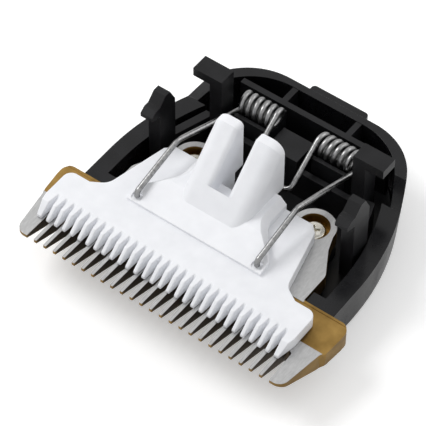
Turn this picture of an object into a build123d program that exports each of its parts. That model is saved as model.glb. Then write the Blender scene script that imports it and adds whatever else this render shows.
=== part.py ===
from build123d import *
from math import asin, atan2, ceil, cos, degrees, dist, hypot, pi, radians, sin, sqrt
import os

# Cutting head of a pet clipper, in millimetres.
# The origin is under the middle of the head, on the face it lies on: +X runs
# along the row of teeth, +Y from the teeth back to the hinge tongue, +Z up.
# Dimensions called "..._back" are measured back from the fixed tooth tips, and
# those called "..._up" are measured up from the cutting plane, where the
# ceramic blade slides on the steel one.

# --- overall ---
overall_length = 44.8     # fixed tooth tips to the end of the tongue
cut_height = 7.8          # underside to cutting plane
fit_gap = 0.1             # between seated mouldings
slide_gap = 0.04          # between the two blades

# --- fixed steel blade ---
fixed_teeth = 26
fixed_pitch = 1.6
tooth_tip = 0.44
tooth_root = 0.6
gap_depth = 5.3
blade_width = 46.8
comb_inset = 1.75         # the sides run in by this from the widest part to the tips
face_inset = 0.72         # and by this at the rear end of the cutting face
heel_inset = 0.28         # and by this just behind it
side_round = 1.2
blade_thick = 2.8
edge_thick = 0.6          # thickness of the teeth at their tips
bevel_back = 6.6          # where the underside bevel ends
face_back = 7.4           # rear end of the ground cutting face
blade_back = 13.1         # rear end of the wide part
flare_length = 0.9        # from the cutting face out to the heel's side
hollow_depth = 0.4
heel_depth = 0.1          # the hollow runs out to this at the rear lip
heel_lip = 0.35
heel_radius = 1.4
heel_land = 2.2           # straight side at the rear of the heel
comb_radius = 1.5
tail_width = 32.0
tail_shoulder_back = 18.0
tail_waist = 27.6
tail_waist_back = 21.8
tail_round = 1.6
ear_radius = 3.1
ear_bridge_back = 21.4    # rear edge between the two ears

# --- blade screws and their inserts ---
screw_x = 9.92
screw_back = 24.0
screw_radius = 1.0
screw_length = 3.5
head_radius = 1.68
head_height = 1.15
head_round = 0.35
counterbore_radius = 2.25
counterbore_depth = 1.9
recess_span = 1.7
recess_width = 0.42
recess_depth = 0.6
recess_turn = 35          # how the cross recess happens to stand
hole_clearance = 0.15
insert_radius = 1.6
insert_length = 2.8
thread_gap = 0.03

# --- ceramic blade ---
rest_shift = -0.95        # where the blade stands at rest, within that travel
ceramic_pitch = 1.333
ceramic_front_back = 3.3  # its tooth tips
ceramic_tip_thick = 0.5
ceramic_tip_land = 0.45   # from the middle of the last tooth to the side
bar_end_land = 1.0        # straight side behind the teeth's rise
ceramic_thick = 1.9
ceramic_rise_back = 5.0   # where the teeth reach full thickness
groove_root_back = 5.1    # where the grooves leave the underside
groove_end_back = 6.9     # where they run out on top
groove_bottom = 0.42
groove_top = 1.0
groove_open = 2.3         # height above the groove's floor where it is that wide
groove_length = 9.0
bar_half = 20.35
bar_overhang = 0.3        # least width of the bar outside its outer teeth
bar_back = 11.1
bar_round = 1.3
neck_half = 14.7
neck_back = 12.4
neck_round = 2.2
rear_half = 12.5
ceramic_back = 22.9
rear_chamfer = 1.1
notch_back = 19.9         # notch for the drive pin

# --- drive yoke ---
yoke_front_back = 11.6
yoke_front_half = 10.9
yoke_shoulder_back = 13.6
yoke_waist_back = 18.6
yoke_rear_half = 7.1
yoke_shoulder_round = 1.5
yoke_waist_round = 3.0
yoke_edge = 0.45          # plate thickness at its front edge
yoke_side_slope = 1.0     # chamfer on the plate's slanting sides
yoke_plate = 2.0          # plate thickness under the prongs
yoke_rise_back = 16.4     # where the plate reaches that thickness
slot_width = 2.8          # drive slot between the prongs
slot_front_back = 17.3    # the prongs join in front of it
slot_round = 0.9
prong_outer_half = 5.3
prong_up = 11.9
prong_foot_back = 15.4
prong_top_back = 23.3
prong_rear_back = 24.7
prong_sink = 0.5          # the prongs start this far below the top of the plate
outer_round = 1.8         # on the outer long edges of the ramps
inner_round = 0.7         # and on the inner ones
seat_radius = 0.8         # seat of a spring leg
seat_depth = 0.25

# --- pressure spring ---
wire = 0.58
coil_radius = 1.42        # to the middle of the wire
coil_pitch = 1.07
coil_turns = 5.5          # from the top, where the arm leaves, to the bottom
coil_start_x = 3.5
coil_back = 34.5
coil_up = 2.75
bridge_back = 27.4
bridge_up = -0.6
arm_bend = 1.0
leg_x = 9.84              # from the middle of the ceramic blade
leg_knee_back = 21.4
leg_knee_up = 5.6
leg_tip_back = 12.4
leg_tip_up = 3.55
heel_run = 1.6            # straight run where a leg leaves its coil
heel_bend = 6.0
knee_bend = 2.2
tip_bend = 0.62

# --- outer shell ---
shell_half = 20.7
shell_front_back = 7.6
shell_back = 42.4
flank_radius = 36.5
flank_turn = 30.5
rear_corner_radius = 9.9
shell_taper = 4
shell_floor = 1.5
rail_width = 2.7
side_wall = 1.3           # beside the spring box
rear_wall = 1.1
rail_up = -0.35           # top of the side rails
rear_up = 2.0             # top of the rear wall and of the spring box
rise_back = 33.0          # the rim climbs from here
rise_end_back = 36.5
pocket_front_back = 15.2
nose_length = 5.0
nose_rise = 3.4
front_corner = 2.5
bottom_round = 1.2
tongue_half = 4.7
tongue_thick = 1.5
tongue_up = 0.1
tongue_round = 0.6
boss_radius = 3.0

# --- latch frame ---
frame_floor = 1.2
frame_front_back = 17.0
front_post_x = 14.9       # inner face
front_post_width = 2.0
front_post_back = 22.9
front_post_depth = 3.4
front_post_up = 9.2
lug_reach = 1.7
lug_ledge = 1.3           # length of the step behind the lug
lug_up = 7.9
lug_thick = 1.3
lug_slope = 0.5           # the lug's underside climbs by this to its tip
front_post_top = 1.0      # length of the flat on top
front_post_fall = 2.2     # the rear of the top slopes down by this
rear_post_x = 10.8        # inner face
rear_post_width = 2.0
rear_post_back = 31.3
rear_post_depth = 2.8
rear_post_up = 8.2
hook_reach = 2.8
hook_thick = 1.5
box_wall = 0.9
box_front_back = 30.4     # wall in front of the coils
box_front_up = 0.0
box_rear_back = 37.7      # wall behind the coils
box_half = 12.2
side_brace = 1.3
rib_x = 5.3
rib_thick = 0.9
cradle_up = 2.2           # edges of the troughs that hold the coils
cradle_wall = 0.5
cradle_end = 0.35
coil_gap = 0.3
saddle_half = 2.5
saddle_up = 1.9
anchor_half = 2.0
anchor_wall = 0.9
anchor_lip = 0.8

# Working planes: comb is the cutting plane, with X along the teeth and Y back;
# side looks along the teeth, with X back and Y up. The ceramic blade has its own
# pair, shifted to where it stands at rest.
comb = Plane(origin=(0, -overall_length / 2, cut_height))
side = Plane(origin=comb.origin, x_dir=(0, 1, 0), z_dir=(1, 0, 0))
cutter = Plane(origin=comb.origin + Vector(rest_shift, 0, 0))
cutter_side = Plane(origin=cutter.origin, x_dir=(0, 1, 0), z_dir=(1, 0, 0))
bottom_up = -cut_height
floor_up = bottom_up + shell_floor
frame_up = floor_up + frame_floor
both_screws = ((-screw_x, screw_back), (screw_x, screw_back))

os.makedirs("parts", exist_ok=True)


def finish(part, name):
    part.label = name
    export_step(part, f"parts/{name}.step")


# --- stationary blade: steel comb, ground face, hollow-ground heel, eared tail ---
with BuildSketch() as comb_gap:
    with BuildLine():
        half_tip = (fixed_pitch - tooth_tip) / 2
        half_root = (fixed_pitch - tooth_root) / 2
        Polyline(
            (-half_root, gap_depth - half_root),
            (-half_tip, 0),
            (-half_tip, -1),
            (half_tip, -1),
            (half_tip, 0),
            (half_root, gap_depth - half_root),
        )
        ThreePointArc((half_root, gap_depth - half_root), (0, gap_depth), (-half_root, gap_depth - half_root))
    make_face()

half_blade = blade_width / 2
with BuildPart(comb) as stationary_blade:
    with BuildSketch(comb):
        with BuildLine():
            Polyline(
                (0, 0),
                (half_blade - comb_inset, 0),
                (half_blade - face_inset, face_back - flare_length / 2),
                (half_blade - heel_inset, face_back + flare_length / 2),
                (half_blade, blade_back - heel_land),
                (half_blade, blade_back),
                (tail_width / 2, blade_back),
                (tail_width / 2, tail_shoulder_back),
                (tail_waist / 2, tail_waist_back),
                (screw_x + ear_radius, screw_back),
                (screw_x - ear_radius, screw_back),
                (screw_x - ear_radius, ear_bridge_back),
                (0, ear_bridge_back),
            )
            mirror(about=Plane.YZ)
        make_face()
        with Locations(*both_screws):
            Circle(ear_radius)
        fillet(vertices().filter_by(lambda v: abs(v.Y) < 0.01), radius=comb_radius)
        flare = vertices().filter_by(lambda v: abs(abs(v.Y - face_back) - flare_length / 2) < 0.01)
        fillet(flare, radius=side_round)
        heel = vertices().filter_by(lambda v: abs(v.Y - blade_back) < 0.01)
        fillet(heel.filter_by(lambda v: abs(v.X) > tail_width / 2 + 1), radius=heel_radius)
        shoulder = vertices().filter_by(lambda v: abs(v.Y - tail_shoulder_back) < 0.01)
        waist = vertices().filter_by(lambda v: abs(v.Y - tail_waist_back) < 0.01)
        fillet(shoulder + waist, radius=tail_round)
    extrude(amount=-blade_thick)
    with BuildSketch(side):
        with BuildLine():
            Polyline(
                (-1, -edge_thick),
                (0, -edge_thick),
                (bevel_back, -blade_thick),
                (bevel_back, -blade_thick - 1),
                (-1, -blade_thick - 1),
                close=True,
            )
        make_face()
        with BuildLine():
            Polyline(
                (face_back, 1),
                (face_back, -hollow_depth),
                (blade_back - heel_lip, -heel_depth),
                (blade_back - heel_lip, 1),
                close=True,
            )
        make_face()
    extrude(amount=blade_width, both=True, mode=Mode.SUBTRACT)
    with BuildSketch(comb):
        with GridLocations(fixed_pitch, 0, fixed_teeth - 1, 1):
            add(comb_gap.sketch)
    extrude(amount=-blade_thick, mode=Mode.SUBTRACT)
    with Locations(*both_screws):
        CounterBoreHole(
            radius=screw_radius + hole_clearance,
            counter_bore_radius=counterbore_radius,
            counter_bore_depth=counterbore_depth,
        )
finish(stationary_blade.part, "stationary_blade")

# --- blade screws with a cross recess, and the brass inserts they thread into ---
screw_seat = comb.offset(-counterbore_depth)
for name, spot in zip(("left", "right"), both_screws):
    with BuildPart() as screw:
        with BuildSketch(screw_seat):
            with Locations(spot):
                Circle(head_radius)
        extrude(amount=head_height)
        fillet(edges().group_by(Axis.Z)[-1], radius=head_round)
        with BuildSketch(screw_seat.offset(head_height)):
            with Locations(spot):
                Rectangle(recess_span, recess_width, rotation=recess_turn)
                Rectangle(recess_width, recess_span, rotation=recess_turn)
        extrude(amount=-recess_depth, mode=Mode.SUBTRACT)
        with BuildSketch(screw_seat):
            with Locations(spot):
                Circle(screw_radius)
        extrude(amount=-screw_length)
    finish(screw.part, f"blade_screw_{name}")

    with BuildPart() as insert:
        with BuildSketch(comb.offset(-blade_thick)):
            with Locations(spot):
                Circle(insert_radius)
                Circle(screw_radius + thread_gap, mode=Mode.SUBTRACT)
        extrude(amount=-insert_length)
    finish(insert.part, f"threaded_insert_{name}")

# --- ceramic moving blade: toothed bar on a tapered neck, notched for the drive pin ---
ceramic_teeth = int(2 * (bar_half - bar_overhang - ceramic_tip_land) / ceramic_pitch) + 1
front_half = (ceramic_teeth - 1) / 2 * ceramic_pitch + ceramic_tip_land
groove_run = Vector(0, groove_end_back - groove_root_back, ceramic_thick).normalized()
groove_plane = Plane(
    origin=cutter.origin + Vector(0, groove_end_back, ceramic_thick),
    x_dir=(1, 0, 0),
    z_dir=-groove_run,
)
with BuildSketch() as groove:
    with BuildLine():
        Polyline(
            (-groove_bottom / 2, 0),
            (groove_bottom / 2, 0),
            (groove_top / 2, groove_open),
            (-groove_top / 2, groove_open),
            close=True,
        )
    make_face()

with BuildPart(cutter) as moving_blade:
    with BuildSketch(cutter.offset(slide_gap)):
        with BuildLine():
            Polyline(
                (0, ceramic_front_back),
                (front_half, ceramic_front_back),
                (bar_half, ceramic_rise_back + bar_end_land),
                (bar_half, bar_back),
                (neck_half + neck_round, bar_back),
                (neck_half, neck_back),
                (rear_half, ceramic_back - rear_chamfer),
                (rear_half - rear_chamfer, ceramic_back),
                (0, ceramic_back),
            )
            mirror(about=Plane.YZ)
        make_face()
        bar_ends = vertices().filter_by(lambda v: abs(v.Y - bar_back) < 0.01 and abs(v.X) > bar_half - 0.01)
        fillet(bar_ends, radius=bar_round)
        fillet(vertices().filter_by(lambda v: abs(v.Y - neck_back) < 0.01), radius=neck_round)
    extrude(amount=ceramic_thick - slide_gap)
    with BuildSketch(cutter_side):
        with BuildLine():
            Polyline(
                (ceramic_front_back - 1, ceramic_tip_thick),
                (ceramic_front_back, ceramic_tip_thick),
                (ceramic_rise_back, ceramic_thick),
                (ceramic_rise_back, ceramic_thick + 1),
                (ceramic_front_back - 1, ceramic_thick + 1),
                close=True,
            )
        make_face()
    extrude(amount=blade_width, both=True, mode=Mode.SUBTRACT)
    with BuildSketch(groove_plane):
        with GridLocations(ceramic_pitch, 0, ceramic_teeth - 1, 1):
            add(groove.sketch)
    extrude(amount=groove_length, mode=Mode.SUBTRACT)
    with BuildSketch(cutter):
        with Locations((0, notch_back)):
            Rectangle(slot_width, ceramic_back, align=(Align.CENTER, Align.MIN))
    extrude(amount=ceramic_thick, mode=Mode.SUBTRACT)
finish(moving_blade.part, "moving_blade")

# --- drive yoke: a wedge plate on the ceramic blade with two ramped prongs ---
plate_up = ceramic_thick + yoke_plate
leg_seat_up = ceramic_thick + yoke_edge + (yoke_plate - yoke_edge) * (leg_tip_back - yoke_front_back) / (
    yoke_rise_back - yoke_front_back
)
with BuildPart(cutter) as drive_yoke:
    with BuildSketch(cutter.offset(ceramic_thick)):
        with BuildLine():
            Polyline(
                (0, yoke_front_back),
                (yoke_front_half, yoke_front_back),
                (yoke_front_half, yoke_shoulder_back),
                (yoke_rear_half, yoke_waist_back),
                (yoke_rear_half, ceramic_back),
                (0, ceramic_back),
            )
            mirror(about=Plane.YZ)
        make_face()
        fillet(
            vertices().filter_by(lambda v: abs(v.Y - yoke_shoulder_back) < 0.01), radius=yoke_shoulder_round
        )
        fillet(vertices().filter_by(lambda v: abs(v.Y - yoke_waist_back) < 0.01), radius=yoke_waist_round)
    extrude(amount=yoke_plate)
    plate_top = edges().group_by(Axis.Z)[-1]
    slanting = plate_top.filter_by(lambda e: min(abs((e % 0.5).X), abs((e % 0.5).Y)) > 0.3)
    chamfer(slanting.filter_by(GeomType.LINE), length=yoke_side_slope)
    with BuildSketch(cutter_side):
        with BuildLine():
            Polyline(
                (yoke_front_back - 1, ceramic_thick + yoke_edge),
                (yoke_front_back, ceramic_thick + yoke_edge),
                (yoke_rise_back, plate_up),
                (yoke_rise_back, plate_up + 1),
                (yoke_front_back - 1, plate_up + 1),
                close=True,
            )
        make_face()
    extrude(amount=blade_width, both=True, mode=Mode.SUBTRACT)
    with BuildSketch(cutter_side):
        with BuildLine():
            Polyline(
                (prong_foot_back - prong_sink, plate_up - prong_sink),
                (prong_top_back, prong_up),
                (prong_rear_back, prong_up),
                (prong_rear_back, plate_up - prong_sink),
                close=True,
            )
        make_face()
    extrude(amount=prong_outer_half, both=True)
    ramp_top = edges().filter_by(lambda e: e.bounding_box().max.Z > cut_height + prong_up - 0.1)
    fillet(ramp_top.filter_by(Axis.X, reverse=True).filter_by(Axis.Z, reverse=True), radius=outer_round)
    # slot between the prongs, with a rounded floor on the plate
    with BuildSketch(cutter_side):
        with BuildLine():
            Polyline(
                (slot_front_back, plate_up),
                (prong_rear_back + 1, plate_up),
                (prong_rear_back + 1, prong_up + 1),
                (slot_front_back, prong_up + 1),
                close=True,
            )
        make_face()
        slot_foot = vertices().group_by(Axis.Y)[0].group_by(Axis.X)[0]
        fillet(slot_foot, radius=slot_round)
    extrude(amount=slot_width / 2, both=True, mode=Mode.SUBTRACT)
    with BuildSketch(cutter):
        with Locations((0, notch_back)):
            Rectangle(slot_width, ceramic_back, align=(Align.CENTER, Align.MIN))
    extrude(amount=prong_up, mode=Mode.SUBTRACT)
    inner_walls = faces().filter_by(Axis.X).filter_by(
        lambda f: abs(abs(f.center().X - rest_shift) - slot_width / 2) < 0.01
    )
    inner_top = inner_walls.edges().filter_by(lambda e: (e @ 0.5).Z > cut_height + plate_up + slot_round)
    fillet(inner_top.filter_by(lambda e: abs((e % 0.5).Z) < 0.9), radius=inner_round)
    with Locations(*[(x, leg_tip_back, leg_seat_up) for x in (-leg_x, leg_x)]):
        Cylinder(seat_radius, seat_depth * 2, mode=Mode.SUBTRACT)
finish(drive_yoke.part, "drive_yoke")

# --- pressure spring: one wire, leg - coil - arm - bridge - arm - coil - leg ---
coil_centre = comb.from_local_coords(Vector(0, coil_back, coil_up))
bridge_reach = hypot(coil_back - bridge_back, coil_up - bridge_up)
arm_slope = degrees(atan2(coil_up - bridge_up, coil_back - bridge_back) + asin(coil_radius / bridge_reach))
knee_reach = hypot(coil_back - leg_knee_back, coil_up - leg_knee_up)
leg_slope = degrees(asin(coil_radius / knee_reach) + atan2(leg_knee_up - coil_up, coil_back - leg_knee_back))
coil_sweep = coil_turns * 360 + arm_slope + leg_slope
quarters = ceil(coil_sweep / 90)


def coil_point(angle):
    """Point of the right-hand coil, at an angle from its top towards the rear."""
    x = coil_start_x + coil_pitch * (angle + arm_slope) / 360
    turn = radians(angle)
    return coil_centre + Vector(x, coil_radius * sin(turn), coil_radius * cos(turn))


def coil_tangent(angle, advance):
    turn = radians(angle)
    return Vector(advance, 2 * pi * coil_radius * cos(turn), -2 * pi * coil_radius * sin(turn)).normalized()


def biarc(start, end, start_dir, end_dir):
    """Two tangent arcs from start to end that keep both end directions."""
    span = end - start
    both = start_dir + end_dir
    bend = 2 * (1 - start_dir.dot(end_dir))
    along = span.dot(both)
    reach = (-along + sqrt(along * along + bend * span.dot(span))) / bend
    joint = (start + end + (start_dir - end_dir) * reach) * 0.5
    return [
        Edge.make_tangent_arc(start, start_dir, joint),
        Edge.make_tangent_arc(end, end_dir * -1, joint),
    ]


def coil_edges():
    step = coil_sweep / quarters
    edges_made = []
    for i in range(quarters):
        first = -arm_slope + i * step
        last = first + step
        first_advance = coil_pitch if i > 0 else 0
        last_advance = coil_pitch if i < quarters - 1 else 0
        edges_made += biarc(
            coil_point(first),
            coil_point(last),
            coil_tangent(first, first_advance),
            coil_tangent(last, last_advance),
        )
    return edges_made


def leg_route(shift):
    """Corners of the right-hand leg, from its coil to its tip on the yoke."""
    start = coil_point(-arm_slope + coil_sweep)
    away = coil_tangent(-arm_slope + coil_sweep, 0)
    x = leg_x + shift
    knee = comb.from_local_coords(Vector(x, leg_knee_back, leg_knee_up))
    tip = comb.from_local_coords(Vector(x, leg_tip_back, leg_tip_up))
    end = comb.from_local_coords(Vector(x, leg_tip_back, leg_seat_up + slide_gap))
    return [start, start + away * heel_run, knee, tip, end]


def mirrored(points):
    return [Vector(-p.X, p.Y, p.Z) for p in points]


arm_start = coil_point(-arm_slope)
bridge_corner = comb.from_local_coords(Vector(arm_start.X, bridge_back, bridge_up))
arm_route = [bridge_corner, arm_start]
with BuildLine() as spring_path:
    FilletPolyline(*reversed(mirrored(arm_route)), *arm_route, radius=arm_bend)
    coil_wire = Wire(coil_edges())
    add(coil_wire)
    add(coil_wire.mirror(Plane.YZ))
    FilletPolyline(*leg_route(rest_shift), radius=(heel_bend, knee_bend, tip_bend))
    FilletPolyline(*mirrored(leg_route(-rest_shift)), radius=(heel_bend, knee_bend, tip_bend))
spring_wire = spring_path.wires()[0]
with BuildPart() as pressure_spring:
    with BuildSketch(Plane(origin=spring_wire @ 0, z_dir=spring_wire % 0)):
        Circle(wire / 2)
    sweep(path=spring_wire)
finish(pressure_spring.part, "pressure_spring")

samples = [spring_wire.position_at(i / 1500) for i in range(1501)]
apart = int(1.5 * wire / spring_wire.length * 1500) + 4
least = min(
    dist(tuple(p), tuple(q))
    for i, p in enumerate(samples)
    for q in samples[i + apart:]
    if abs(p.X - q.X) < 3 * wire
)
print(f"least gap of the spring wire to itself: {least - wire:.3f} mm")
tube = pi * wire * wire / 4 * spring_wire.length
print(f"spring volume {pressure_spring.part.volume:.2f}, section times length {tube:.2f}")

# --- base shell: D-shaped tray with side rails, screw bosses and the hinge tongue ---


def shell_outline(half, front_back, rear_back):
    """Straight sides, long flank arcs and rounded rear corners, closed across the front."""
    flank_depth = flank_radius * sin(radians(flank_turn))
    corner_depth = rear_corner_radius * (1 - sin(radians(flank_turn)))
    edge = Line((half, front_back), (half, rear_back - flank_depth - corner_depth))
    flank = JernArc(start=edge @ 1, tangent=edge % 1, radius=flank_radius, arc_size=flank_turn)
    corner = JernArc(start=flank @ 1, tangent=flank % 1, radius=rear_corner_radius, arc_size=90 - flank_turn)
    Line(corner @ 1, (0, rear_back))
    Line((0, front_back), edge @ 0)
    mirror(about=Plane.YZ)


with BuildSketch() as pocket_plan:
    with BuildLine():
        shell_outline(shell_half - side_wall, pocket_front_back, shell_back - rear_wall)
    make_face()
    with Locations((0, rise_back)):
        Rectangle(blade_width, shell_back, align=(Align.CENTER, Align.MIN), mode=Mode.INTERSECT)
    with BuildLine():
        shell_outline(shell_half - rail_width, pocket_front_back, shell_back - rear_wall)
    make_face()

with BuildPart(comb) as base_shell:
    with BuildSketch(comb.offset(rear_up)):
        with BuildLine():
            shell_outline(shell_half, shell_front_back, shell_back)
        make_face()
        fillet(vertices().filter_by(lambda v: abs(v.Y - shell_front_back) < 0.01), radius=front_corner)
    extrude(amount=-(cut_height + rear_up), taper=shell_taper)
    fillet(edges().group_by(Axis.Z)[0], radius=bottom_round)
    # the rim drops from the spring box to the side rails, and to the blade seat in front
    with BuildSketch(side):
        with BuildLine():
            Polyline(
                (-1, -blade_thick),
                (blade_back + fit_gap, -blade_thick),
                (blade_back + fit_gap, rail_up),
                (rise_back, rail_up),
                (rise_end_back, rear_up),
                (rise_end_back, rear_up + 1),
                (-1, rear_up + 1),
                close=True,
            )
        make_face()
        with BuildLine():
            Polyline(
                (shell_front_back - 1, bottom_up - 1),
                (shell_front_back + nose_length, bottom_up - 1),
                (shell_front_back + nose_length, bottom_up),
                (shell_front_back, bottom_up + nose_rise),
                (shell_front_back - 1, bottom_up + nose_rise),
                close=True,
            )
        make_face()
    extrude(amount=blade_width, both=True, mode=Mode.SUBTRACT)
    # pocket between the rails, wider beside the spring box
    with BuildSketch(comb.offset(floor_up)):
        add(pocket_plan.sketch)
    extrude(amount=rear_up - floor_up, mode=Mode.SUBTRACT)
    # seat of the blade's tail, and the bosses that its screws reach
    with BuildSketch(comb.offset(-blade_thick)):
        with Locations((0, blade_back)):
            Rectangle(
                tail_width + 2 * fit_gap,
                pocket_front_back - blade_back,
                align=(Align.CENTER, Align.MIN),
            )
    extrude(amount=blade_thick, mode=Mode.SUBTRACT)
    with BuildSketch(comb.offset(floor_up)):
        with Locations(*both_screws):
            Circle(boss_radius)
    extrude(amount=-blade_thick - floor_up)
    with BuildSketch(comb.offset(-blade_thick)):
        with Locations(*both_screws):
            Circle(insert_radius)
    extrude(amount=-insert_length, mode=Mode.SUBTRACT)
    with BuildSketch(comb.offset(tongue_up)):
        with Locations((0, shell_back - rear_wall)):
            Rectangle(
                2 * tongue_half,
                overall_length - shell_back + rear_wall,
                align=(Align.CENTER, Align.MIN),
            )
        fillet(vertices().filter_by(lambda v: abs(v.Y - overall_length) < 0.01), radius=tongue_round)
    extrude(amount=-tongue_thick)
finish(base_shell.part, "base_shell")

# --- latch frame: floor, spring box, cradles, two ramped posts and two hooked posts ---
frame_rear = shell_back - rear_wall - fit_gap
with BuildSketch() as frame_plan:
    add(pocket_plan.sketch)
    offset(amount=-fit_gap)

trough_radius = coil_radius + wire / 2 + coil_gap
coil_span = coil_pitch * (coil_sweep / 360)
with BuildPart(comb) as latch_frame:
    with BuildSketch(comb.offset(floor_up)):
        with Locations((0, frame_front_back)):
            Rectangle(blade_width, overall_length, align=(Align.CENTER, Align.MIN))
        with Locations(*both_screws):
            Circle(boss_radius + fit_gap, mode=Mode.SUBTRACT)
    extrude(amount=frame_floor)
    # walls of the spring box and the two ribs that brace it against the shell
    with BuildSketch(comb.offset(frame_up)):
        with Locations((0, box_front_back)):
            Rectangle(2 * rear_post_x + rear_post_width, box_wall, align=(Align.CENTER, Align.MIN))
    extrude(amount=box_front_up - frame_up)
    with BuildSketch(comb.offset(frame_up)):
        with Locations((0, box_rear_back)):
            Rectangle(2 * box_half, box_wall, align=(Align.CENTER, Align.MIN))
        with Locations((-rib_x, box_rear_back), (rib_x, box_rear_back)):
            Rectangle(rib_thick, frame_rear - box_rear_back, align=(Align.CENTER, Align.MIN))
    extrude(amount=rear_up - frame_up)
    # braces along the pocket walls, from the front posts to the rear ones
    with BuildSketch(comb.offset(frame_up)):
        for mirror_x in (-1, 1):
            with BuildLine():
                Polyline(
                    (mirror_x * (front_post_x + front_post_width - side_brace), front_post_back + 1),
                    (mirror_x * (front_post_x + front_post_width), front_post_back + 1),
                    (mirror_x * (rear_post_x + rear_post_width + side_brace), rear_post_back + 1),
                    (mirror_x * (rear_post_x + rear_post_width), rear_post_back + 1),
                    close=True,
                )
            make_face()
    extrude(amount=rail_up - frame_up)
    # cradles under the coils, each with a round trough
    with BuildSketch(comb.offset(frame_up)):
        for mirror_x in (-1, 1):
            with Locations((mirror_x * (coil_start_x + coil_span / 2), coil_back)):
                Rectangle(coil_span - 2 * cradle_end, 2 * (trough_radius + cradle_wall))
    extrude(amount=cradle_up - frame_up)
    with BuildSketch(side):
        with Locations((coil_back, coil_up)):
            Circle(trough_radius)
    extrude(amount=rear_post_x, both=True, mode=Mode.SUBTRACT)
    # saddle between the coils, and the hooked anchor over the bridge of the spring
    with BuildSketch(comb.offset(frame_up)):
        with Locations((0, box_front_back)):
            Rectangle(2 * saddle_half, coil_back - box_front_back, align=(Align.CENTER, Align.MIN))
    extrude(amount=saddle_up - frame_up)
    hook_up = bridge_up + wire / 2 + coil_gap
    anchor_front = bridge_back - wire / 2 - coil_gap - anchor_wall
    with BuildSketch(side):
        with BuildLine():
            Polyline(
                (anchor_front, frame_up - frame_floor / 2),
                (anchor_front, hook_up + anchor_lip),
                (bridge_back + wire, hook_up + anchor_lip),
                (bridge_back + wire, hook_up),
                (anchor_front + anchor_wall, hook_up),
                (anchor_front + anchor_wall, frame_up - frame_floor / 2),
                close=True,
            )
        make_face()
    extrude(amount=anchor_half, both=True)
    # front posts: a ramp with a lug that points at the teeth
    post_top_back = front_post_back + lug_ledge
    for inner in (front_post_x, -front_post_x - front_post_width):
        with BuildSketch(side.offset(inner)):
            with BuildLine():
                Polyline(
                    (front_post_back, frame_up - frame_floor / 2),
                    (front_post_back, lug_up - lug_thick - lug_slope),
                    (front_post_back - lug_reach, lug_up - lug_thick),
                    (front_post_back - lug_reach, lug_up - lug_thick / 2),
                    (front_post_back - lug_reach / 2, lug_up),
                    (front_post_back, lug_up),
                    (post_top_back, front_post_up),
                    (post_top_back + front_post_top, front_post_up),
                    (front_post_back + front_post_depth, front_post_up - front_post_fall),
                    (front_post_back + front_post_depth, frame_up - frame_floor / 2),
                    close=True,
                )
            make_face()
        extrude(amount=front_post_width)
    # rear posts: square pillars, later with hooks that point outwards
    for mirror_x in (-1, 1):
        with BuildSketch(comb.offset(frame_up - frame_floor / 2)):
            with Locations((mirror_x * (rear_post_x + rear_post_width / 2), rear_post_back)):
                Rectangle(rear_post_width, rear_post_depth, align=(Align.CENTER, Align.MIN))
        extrude(amount=rear_post_up - frame_up + frame_floor / 2)
    # all of it is trimmed to fit the pocket, and only the hooks reach out over the rim
    with BuildSketch(comb.offset(floor_up)):
        add(frame_plan.sketch)
    extrude(amount=front_post_up - floor_up, mode=Mode.INTERSECT)
    for mirror_x in (-1, 1):
        with BuildSketch(comb.offset(rear_post_up)):
            hook_length = rear_post_width + hook_reach
            with Locations((mirror_x * (rear_post_x + hook_length / 2), rear_post_back)):
                Rectangle(hook_length, rear_post_depth, align=(Align.CENTER, Align.MIN))
        extrude(amount=-hook_thick)
finish(latch_frame.part, "latch_frame")
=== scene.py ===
import bpy
from math import asin, atan2, cos, hypot, pi, radians, sin, tan
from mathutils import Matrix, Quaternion, Vector


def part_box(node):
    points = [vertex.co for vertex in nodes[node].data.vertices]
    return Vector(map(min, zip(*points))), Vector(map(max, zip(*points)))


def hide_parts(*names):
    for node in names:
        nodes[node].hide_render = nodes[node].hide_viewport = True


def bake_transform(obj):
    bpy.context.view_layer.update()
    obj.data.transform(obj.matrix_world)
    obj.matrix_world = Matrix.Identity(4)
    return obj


# Cutting head of a pet clipper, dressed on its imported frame. All lengths are in
# metres. +X runs along the teeth, +Y back to the hinge tongue and +Z up.
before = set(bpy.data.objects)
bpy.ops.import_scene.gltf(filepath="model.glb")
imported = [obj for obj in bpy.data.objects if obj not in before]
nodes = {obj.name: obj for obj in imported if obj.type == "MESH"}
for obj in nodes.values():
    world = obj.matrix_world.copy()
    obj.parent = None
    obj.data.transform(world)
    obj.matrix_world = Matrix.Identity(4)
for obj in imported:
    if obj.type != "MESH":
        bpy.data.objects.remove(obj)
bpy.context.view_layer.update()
bpy.ops.object.select_all(action="DESELECT")

# --- base shell ---
# Black ABS tray, injection moulded and polished on the outside, where a finger
# grips it. It carries the steel blade, the latch frame and the hinge tongue.
mm = 0.001


def finish_with(node, material):
    """Gives a whole node one material."""
    piece = nodes[node]
    piece.data.materials.clear()
    piece.data.materials.append(material)
    return piece


def round_edges(piece, width, segments=2):
    """Takes the sharpness off moulded or ground edges, as every real edge has it."""
    weld = piece.modifiers.new("join faces", "WELD")
    weld.merge_threshold = 0.002 * mm
    flat = piece.modifiers.new("clean flats", "DECIMATE")
    flat.decimate_type = "DISSOLVE"
    flat.angle_limit = radians(0.5)
    bevel = piece.modifiers.new("round edges", "BEVEL")
    bevel.width = width
    bevel.segments = segments
    bevel.limit_method = "ANGLE"
    bevel.angle_limit = radians(28)
    bevel.use_clamp_overlap = True
    bevel.harden_normals = False
    smooth = piece.modifiers.new("even shading", "WEIGHTED_NORMAL")
    smooth.keep_sharp = False


def new_material(name, metallic=0.0):
    """A material, its tree, its shader and the piece's own coordinates."""
    material = bpy.data.materials.new(name)
    material.use_nodes = True
    tree = material.node_tree
    shader = tree.nodes["Principled BSDF"]
    shader.inputs["Metallic"].default_value = metallic
    place = tree.nodes.new("ShaderNodeTexCoord").outputs["Object"]
    return material, tree, shader, place


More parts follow.
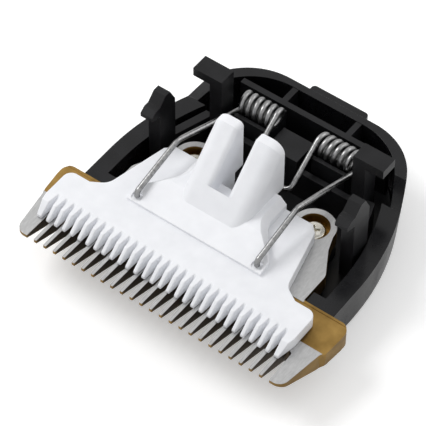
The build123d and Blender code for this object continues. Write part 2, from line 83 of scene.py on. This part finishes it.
def noise(tree, place, scale, detail):
    """A soft random pattern with the given number of cycles in a metre."""
    texture = tree.nodes.new("ShaderNodeTexNoise")
    texture.inputs["Scale"].default_value = scale
    texture.inputs["Detail"].default_value = detail
    tree.links.new(place, texture.inputs["Vector"])
    return texture.outputs["Fac"]


def spread(tree, value, start, end, least=0.0, most=1.0):
    """Turns a value that goes from start to end into one from least to most."""
    mapped = tree.nodes.new("ShaderNodeMapRange")
    mapped.inputs["From Min"].default_value = start
    mapped.inputs["From Max"].default_value = end
    mapped.inputs["To Min"].default_value = least
    mapped.inputs["To Max"].default_value = most
    tree.links.new(value, mapped.inputs["Value"])
    return mapped.outputs["Result"]


def tones(tree, value, start, first, end, last):
    """The first colour up to start, the last from end on, and a blend between."""
    ramp = tree.nodes.new("ShaderNodeValToRGB")
    for stop, position, colour in zip(ramp.color_ramp.elements, (start, end), (first, last)):
        stop.position = position
        stop.color = (*colour, 1)
    tree.links.new(value, ramp.inputs["Fac"])
    return ramp.outputs["Color"]


def roughen(tree, shader, height, strength, depth):
    """Small relief on the skin, from a pattern of heights."""
    bump = tree.nodes.new("ShaderNodeBump")
    bump.inputs["Strength"].default_value = strength
    bump.inputs["Distance"].default_value = depth
    tree.links.new(height, bump.inputs["Height"])
    tree.links.new(bump.outputs["Normal"], shader.inputs["Normal"])


def black_plastic(name, tint, rough, grain, grain_size, polish):
    """Black moulded plastic: a fine grain, uneven gloss and faint handling marks."""
    material, tree, shader, place = new_material(name)
    shader.inputs["Specular IOR Level"].default_value = 0.25
    shader.inputs["Coat Weight"].default_value = polish
    shader.inputs["Coat Roughness"].default_value = 0.12
    cloud = noise(tree, place, 260, 4)
    gloss = spread(tree, cloud, 0.3, 0.7, rough - 0.06, rough + 0.08)
    tree.links.new(gloss, shader.inputs["Roughness"])
    deep, worn = ([channel * share for channel in tint] for share in (0.75, 1.3))
    tree.links.new(tones(tree, cloud, 0.35, deep, 0.7, worn), shader.inputs["Base Color"])
    roughen(tree, shader, noise(tree, place, grain_size, 3), grain, 0.02 * mm)
    return material


gloss_black = black_plastic("gloss_black", (0.006, 0.006, 0.007), 0.26, 0.15, 2600, 0.12)
round_edges(finish_with("base_shell", gloss_black), 0.22 * mm, 3)

# --- latch frame ---
# Black nylon moulding pressed into the tray: spring box, coil cradles, and the
# four posts that clip the head to the clipper's nose. Its skin is duller.
satin_black = black_plastic("satin_black", (0.008, 0.008, 0.009), 0.36, 0.3, 3800, 0.0)
round_edges(finish_with("latch_frame", satin_black), 0.14 * mm)

# --- stationary blade ---
# Stamped steel comb with a gold-bronze coat. Grinding has cut the coat away from
# the cutting face and the tail, and left it in the hollow, on the sides and tips.
low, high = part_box("stationary_blade")
front = low.y
cutting_plane = high.z
ground_depth = 0.08 * mm
land_back, tail_half = 7.5 * mm, 16.2 * mm
tips_back, roots_back, teeth_half = 0.15 * mm, 6.4 * mm, 20.4 * mm


def joined(tree, operation, *values):
    """Shader values put together by one kind of arithmetic."""
    total = values[0]
    for value in values[1:]:
        step = tree.nodes.new("ShaderNodeMath")
        step.operation = operation
        tree.links.new(total, step.inputs[0])
        tree.links.new(value, step.inputs[1])
        total = step.outputs["Value"]
    return total


def size_of(tree, value):
    """A shader value without its sign."""
    plain = tree.nodes.new("ShaderNodeMath")
    plain.operation = "ABSOLUTE"
    tree.links.new(value, plain.inputs[0])
    return plain.outputs["Value"]


def mixed(tree, share, first, last):
    """The first colour where the share is nought and the last where it is one."""
    mix = tree.nodes.new("ShaderNodeMix")
    mix.data_type = "RGBA"
    tree.links.new(share, mix.inputs["Factor"])
    tree.links.new(first, mix.inputs["A"])
    tree.links.new(last, mix.inputs["B"])
    return mix.outputs["Result"]


coated, tree, shader, place = new_material("coated_steel", metallic=1.0)
parts = tree.nodes.new("ShaderNodeSeparateXYZ")
tree.links.new(place, parts.inputs["Vector"])
back, up = parts.outputs["Y"], parts.outputs["Z"]
across = size_of(tree, parts.outputs["X"])

# fine grinding lines, drawn out along the stroke of the wheel
along_wheel = tree.nodes.new("ShaderNodeMapping")
along_wheel.inputs["Scale"].default_value = (1.0, 0.25, 1.0)
along_wheel.inputs["Rotation"].default_value = (0, 0, radians(-8))
tree.links.new(place, along_wheel.inputs["Vector"])
scratch = noise(tree, along_wheel.outputs["Vector"], 5200, 2)
bright = tones(tree, scratch, 0.3, (0.42, 0.42, 0.42), 0.7, (0.50, 0.50, 0.50))
gold = tones(tree, noise(tree, place, 330, 3), 0.3, (0.20, 0.12, 0.035), 0.72, (0.36, 0.225, 0.07))

# the wheel reaches the cutting face and the tail, but not the rear lip of the heel
level = spread(tree, up, cutting_plane - ground_depth, cutting_plane - 0.05 * mm)
front_land = spread(tree, back, front + land_back, front + land_back - 0.2 * mm)
tail_land = spread(tree, across, tail_half, tail_half - 0.2 * mm)
ground = joined(tree, "MULTIPLY", level, joined(tree, "MAXIMUM", front_land, tail_land))

# painted shade on the flanks of the teeth: between the tips and the roots the coat is in shadow,
# painted as a dark brown colour
facing = tree.nodes.new("ShaderNodeNewGeometry")
lean = tree.nodes.new("ShaderNodeSeparateXYZ")
tree.links.new(facing.outputs["Normal"], lean.inputs["Vector"])
steep = spread(tree, size_of(tree, lean.outputs["Z"]), 0.7, 0.4)
behind_tips = spread(tree, back, front + tips_back, front + tips_back + 0.45 * mm)
before_roots = spread(tree, back, front + roots_back, front + roots_back - 0.8 * mm)
inside_ends = spread(tree, across, teeth_half, teeth_half - 0.4 * mm)
painted_flank_shade = joined(tree, "MULTIPLY", steep, behind_tips, before_roots, inside_ends)
# dark brown of the painted shade between the teeth
flank_shade_colour = tree.nodes.new("ShaderNodeRGB").outputs["Color"]
flank_shade_colour.default_value = (0.07, 0.052, 0.034, 1)
# the gold coat, with the painted shade on the tooth flanks
coat = mixed(tree, painted_flank_shade, gold, flank_shade_colour)
tree.links.new(mixed(tree, ground, coat, bright), shader.inputs["Base Color"])
tree.links.new(spread(tree, scratch, 0, 1, 0.3, 0.46), shader.inputs["Roughness"])
roughen(tree, shader, scratch, 0.12, 0.01 * mm)
round_edges(finish_with("stationary_blade", coated), 0.05 * mm)

# --- blade screws and inserts ---
# Two small cross-recessed machine screws, bright plated, hold the steel blade to
# the base. They thread into turned inserts in its bosses, which they hide.
plated, tree, shader, place = new_material("plated_screw", metallic=1.0)
wear = noise(tree, place, 600, 2)
plate = tones(tree, wear, 0.35, (0.6, 0.57, 0.5), 0.65, (0.76, 0.74, 0.68))
tree.links.new(plate, shader.inputs["Base Color"])
tree.links.new(spread(tree, wear, 0, 1, 0.18, 0.35), shader.inputs["Roughness"])
for hand in ("left", "right"):
    round_edges(finish_with(f"blade_screw_{hand}", plated), 0.04 * mm)
    finish_with(f"threaded_insert_{hand}", plated)

# --- ceramic moving blade ---
# Zirconia cutter, sintered and ground: very white, fine matt skin, thin edges
# that let a little light into the body.
ceramic, tree, shader, place = new_material("white_ceramic")
shader.inputs["Subsurface Weight"].default_value = 0.15
shader.inputs["Subsurface Radius"].default_value = (0.6 * mm, 0.6 * mm, 0.6 * mm)
shader.inputs["Subsurface Scale"].default_value = 1.0
powder = noise(tree, place, 420, 5)
white = tones(tree, powder, 0.3, (0.83, 0.84, 0.87), 0.7, (0.88, 0.89, 0.92))
tree.links.new(white, shader.inputs["Base Color"])
tree.links.new(spread(tree, powder, 0, 1, 0.38, 0.55), shader.inputs["Roughness"])
round_edges(finish_with("moving_blade", ceramic), 0.1 * mm, 3)

# --- drive yoke ---
# White acetal moulding bonded to the ceramic: a wedge plate with two ramped
# prongs, whose edges the mould itself rounds. The clipper's pin runs in the slot.
acetal = ceramic.copy()
acetal.name = "white_acetal"
finish_with("drive_yoke", acetal)

# --- pressure spring ---
# One length of bright drawn wire: two coils, the bridge between them and two
# long legs whose tips press the yoke and the ceramic down on the steel.
wire_radius = 0.4 * mm
coil_radius, coil_pitch, coil_turns = 1.42, 1.07, 5.5
coil_start, coil_back, coil_up = 3.5, 34.5, 2.75
bridge_back, bridge_up, bridge_bend = 27.4, -0.6, 1.0
leg_out, knee_back, knee_up, knee_bend = 9.84, 21.4, 5.6, 2.2
tip_back, tip_up, tip_bend = 12.4, 3.55, 0.62
seat_up = 2.65
coil_steps, bend_steps = 150, 12
cutter_low, cutter_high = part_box("moving_blade")
rest_shift = (cutter_low.x + cutter_high.x) / 2 / mm
arm_slope = atan2(coil_up - bridge_up, coil_back - bridge_back) + asin(
    coil_radius / hypot(coil_back - bridge_back, coil_up - bridge_up)
)
leg_slope = asin(coil_radius / hypot(coil_back - knee_back, coil_up - knee_up)) + atan2(
    knee_up - coil_up, coil_back - knee_back
)
sweep = coil_turns * 2 * pi + arm_slope + leg_slope


def at(x, back, up):
    """A place, in millimetres back from the fixed tooth tips and up from the cutting plane."""
    return Vector((x * mm, front + back * mm, cutting_plane + up * mm))


def rounded(corners, bends):
    """Points along straight runs whose corners are eased by arcs of the given radii."""
    route = [corners[0]]
    for before, corner, after, bend in zip(corners, corners[1:], corners[2:], bends):
        come = (corner - before).normalized()
        leave = (after - corner).normalized()
        turn = come.angle(leave)
        axis = come.cross(leave).normalized()
        touch = corner - come * bend * mm * tan(turn / 2)
        centre = touch + axis.cross(come) * bend * mm
        for step in range(bend_steps + 1):
            route.append(centre + Quaternion(axis, turn * step / bend_steps) @ (touch - centre))
    route.append(corners[-1])
    return route


def coil_side(hand, shift):
    """Route from the bridge through one coil to the tip of its leg."""
    turns = []
    for step in range(coil_steps + 1):
        wound = sweep * step / coil_steps
        x = coil_start + coil_pitch * wound / (2 * pi)
        angle = wound - arm_slope
        turns.append(
            at(hand * x, coil_back + coil_radius * sin(angle), coil_up + coil_radius * cos(angle))
        )
    out = hand * leg_out + shift
    bridge = [at(0, bridge_back, bridge_up), at(hand * coil_start, bridge_back, bridge_up)]
    knee, tip, seat = at(out, knee_back, knee_up), at(out, tip_back, tip_up), at(out, tip_back, seat_up)
    arm = rounded([*bridge, turns[0]], (bridge_bend,))
    leg = rounded([turns[-1], knee, tip, seat], (knee_bend, tip_bend))
    return arm[:-1] + turns + leg[1:]


left_side = coil_side(-1, rest_shift)
right_side = coil_side(1, rest_shift)
route = left_side[::-1] + right_side[1:]
wire_curve = bpy.data.curves.new("spring_wire", "CURVE")
wire_curve.dimensions = "3D"
wire_curve.bevel_depth = wire_radius
wire_curve.bevel_resolution = 5
wire_curve.use_fill_caps = True
line = wire_curve.splines.new("POLY")
line.points.add(len(route) - 1)
for point, spot in zip(line.points, route):
    point.co = (*spot, 1)
wire_object = bpy.data.objects.new("spring_wire", wire_curve)
bpy.context.scene.collection.objects.link(wire_object)
bpy.context.view_layer.objects.active = wire_object
wire_object.select_set(True)
bpy.ops.object.convert(target="MESH")
spring = bpy.context.view_layer.objects.active
bpy.ops.object.shade_smooth()
spring.select_set(False)

drawn, tree, shader, place = new_material("drawn_wire", metallic=1.0)
draw_marks = noise(tree, place, 2400, 4)
steel = tones(tree, draw_marks, 0.35, (0.24, 0.24, 0.24), 0.7, (0.38, 0.38, 0.38))
tree.links.new(steel, shader.inputs["Base Color"])
tree.links.new(spread(tree, draw_marks, 0, 1, 0.22, 0.38), shader.inputs["Roughness"])
spring.data.materials.append(drawn)
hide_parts("pressure_spring")
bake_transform(spring)

# --- studio ---
# White table just under the tray, a pale room, one large soft light and a weaker
# one. The table glows a little for the camera only, so that it stays white.
table_glow = 0.3
room_light, room_seen = 0.6, 0.9
bpy.ops.mesh.primitive_plane_add(size=4, location=(0, 0, -0.05 * mm))
table = bpy.context.object
table.name = "table"
table.select_set(False)
paper, tree, shader, place = new_material("white_paper")
shader.inputs["Base Color"].default_value = (0.9, 0.9, 0.9, 1)
shader.inputs["Roughness"].default_value = 0.9
shader.inputs["Emission Color"].default_value = (1, 1, 1, 1)
ray = tree.nodes.new("ShaderNodeLightPath")
glow = spread(tree, ray.outputs["Is Camera Ray"], 0, 1, 0, table_glow)
tree.links.new(glow, shader.inputs["Emission Strength"])
table.data.materials.append(paper)

world = bpy.data.worlds.new("studio")
bpy.context.scene.world = world
world.use_nodes = True
tree = world.node_tree
sky = tree.nodes["Background"]
sky.inputs["Color"].default_value = (1, 1, 1, 1)
ray = tree.nodes.new("ShaderNodeLightPath")
seen = joined(tree, "MAXIMUM", ray.outputs["Is Camera Ray"], ray.outputs["Is Glossy Ray"])
tree.links.new(spread(tree, seen, 0, 1, room_light, room_seen), sky.inputs["Strength"])


def soft_box(name, where, size, power):
    """A square soft light that faces the object."""
    light = bpy.data.lights.new(name, "AREA")
    light.energy = power
    light.size = size
    lamp = bpy.data.objects.new(name, light)
    bpy.context.scene.collection.objects.link(lamp)
    lamp.location = where
    lamp.rotation_mode = "QUATERNION"
    lamp.rotation_quaternion = (Vector((0, 0, 8 * mm)) - Vector(where)).to_track_quat("-Z", "Y")


soft_box("key", (-0.26, -0.06, 0.34), 0.2, 0.85)
soft_box("fill", (0.16, 0.3, 0.26), 0.24, 0.25)

# --- camera ---
# A long lens above the right front corner, looking down on the ceramic blade.
azimuth, elevation, roll = radians(36.226), radians(50.569), radians(0.344)
aim = Vector((1.514, -9.700, 15.488)) * mm
distance = 333.34 * mm
away = Vector((sin(azimuth) * cos(elevation), -cos(azimuth) * cos(elevation), sin(elevation)))
lens = bpy.data.cameras.new("camera")
lens.lens = 216.97
lens.clip_start, lens.clip_end = 0.01, 10
camera = bpy.data.objects.new("camera", lens)
bpy.context.scene.collection.objects.link(camera)
camera.location = aim + away * distance
camera.rotation_mode = "QUATERNION"
camera.rotation_quaternion = (-away).to_track_quat("-Z", "Y") @ Quaternion((0, 0, 1), roll)
bpy.context.scene.camera = camera
bpy.context.scene.view_settings.view_transform = "Standard"
